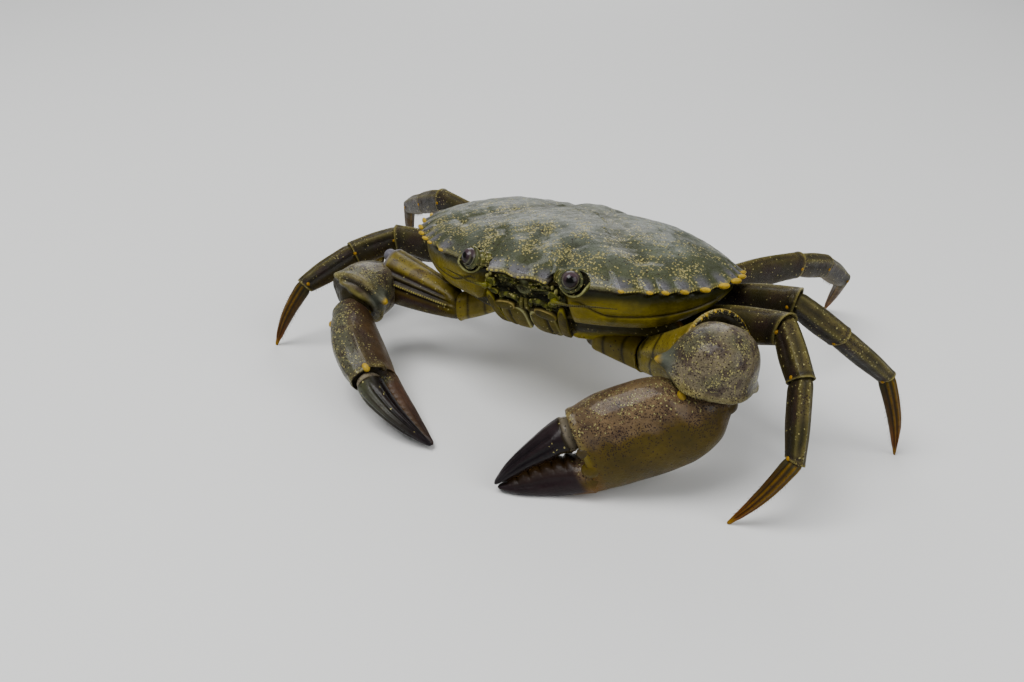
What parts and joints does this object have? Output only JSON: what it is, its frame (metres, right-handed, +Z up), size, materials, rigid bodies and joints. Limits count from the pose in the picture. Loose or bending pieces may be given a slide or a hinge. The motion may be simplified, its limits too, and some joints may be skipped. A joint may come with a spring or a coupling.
{
  "type": "shore crab",
  "caption": "Life-size still model of a shore crab standing with both claws lowered: domed shell with toothed rim, stalked eyes, one heavy and one slim claw, jointed walking legs.",
  "frame": {"origin": "on the floor under the middle of the crab's own bounding box", "axes": "+X towards the crab's left side, the side of its heavy claw; -Y the way it faces; +Z up"},
  "size_m": [0.1432, 0.1166, 0.0415],
  "materials": {
    "carapace_shell": "wet grey-olive shell with fine yellow granules, low sheen to glossy",
    "underside_shell": "smooth yellow-green shell, glossy",
    "mouth_plates": "olive plates with yellow rims, glossy",
    "eye": "dark, very glossy",
    "claw_shell": "speckled grey-olive over mustard shell, glossy",
    "claw_finger": "dark purple-brown, polished",
    "leg_shell": "olive-brown shell with pale ridges, glossy",
    "leg_tip": "orange-brown with dark grooves, glossy"
  },
  "bodies": {
    "root": {"carapace": "carapace_shell", "belly": "underside_shell", "mouthparts": "mouth_plates", "abdomen": "underside_shell", "eye_left": "eye", "eye_stalk_left": "mouth_plates", "antenna_left": "mouth_plates", "claw_hip_left": "claw_shell", "claw_merus_left": "claw_shell", "claw_carpus_left": "claw_shell", "claw_hand_left": "claw_shell", "claw_finger_left": "claw_finger", "leg_1_hip_left": "leg_shell", "leg_1_merus_left": "leg_shell", "leg_1_carpus_left": "leg_shell", "leg_1_propodus_left": "leg_shell", "leg_1_dactyl_left": "leg_tip", "leg_2_hip_left": "leg_shell", "leg_2_merus_left": "leg_shell", "leg_2_carpus_left": "leg_shell", "leg_2_propodus_left": "leg_shell", "leg_2_dactyl_left": "leg_tip", "leg_3_hip_left": "leg_shell", "leg_3_merus_left": "leg_shell", "leg_3_carpus_left": "leg_shell", "leg_3_propodus_left": "leg_shell", "leg_3_dactyl_left": "leg_tip", "leg_4_hip_left": "leg_shell", "leg_4_merus_left": "leg_shell", "leg_4_carpus_left": "leg_shell", "leg_4_propodus_left": "leg_shell", "leg_4_dactyl_left": "leg_tip", "eye_right": "eye", "eye_stalk_right": "mouth_plates", "antenna_right": "mouth_plates", "claw_hip_right": "claw_shell", "claw_merus_right": "claw_shell", "claw_carpus_right": "claw_shell", "claw_hand_right": "claw_shell", "claw_finger_right": "claw_finger", "leg_1_hip_right": "leg_shell", "leg_1_merus_right": "leg_shell", "leg_1_carpus_right": "leg_shell", "leg_1_propodus_right": "leg_shell", "leg_1_dactyl_right": "leg_tip", "leg_2_hip_right": "leg_shell", "leg_2_merus_right": "leg_shell", "leg_2_carpus_right": "leg_shell", "leg_2_propodus_right": "leg_shell", "leg_2_dactyl_right": "leg_tip", "leg_3_hip_right": "leg_shell", "leg_3_merus_right": "leg_shell", "leg_3_carpus_right": "leg_shell", "leg_3_propodus_right": "leg_shell", "leg_3_dactyl_right": "leg_tip", "leg_4_hip_right": "leg_shell", "leg_4_merus_right": "leg_shell", "leg_4_carpus_right": "leg_shell", "leg_4_propodus_right": "leg_shell", "leg_4_dactyl_right": "leg_tip"}
  },
  "joints": []
}
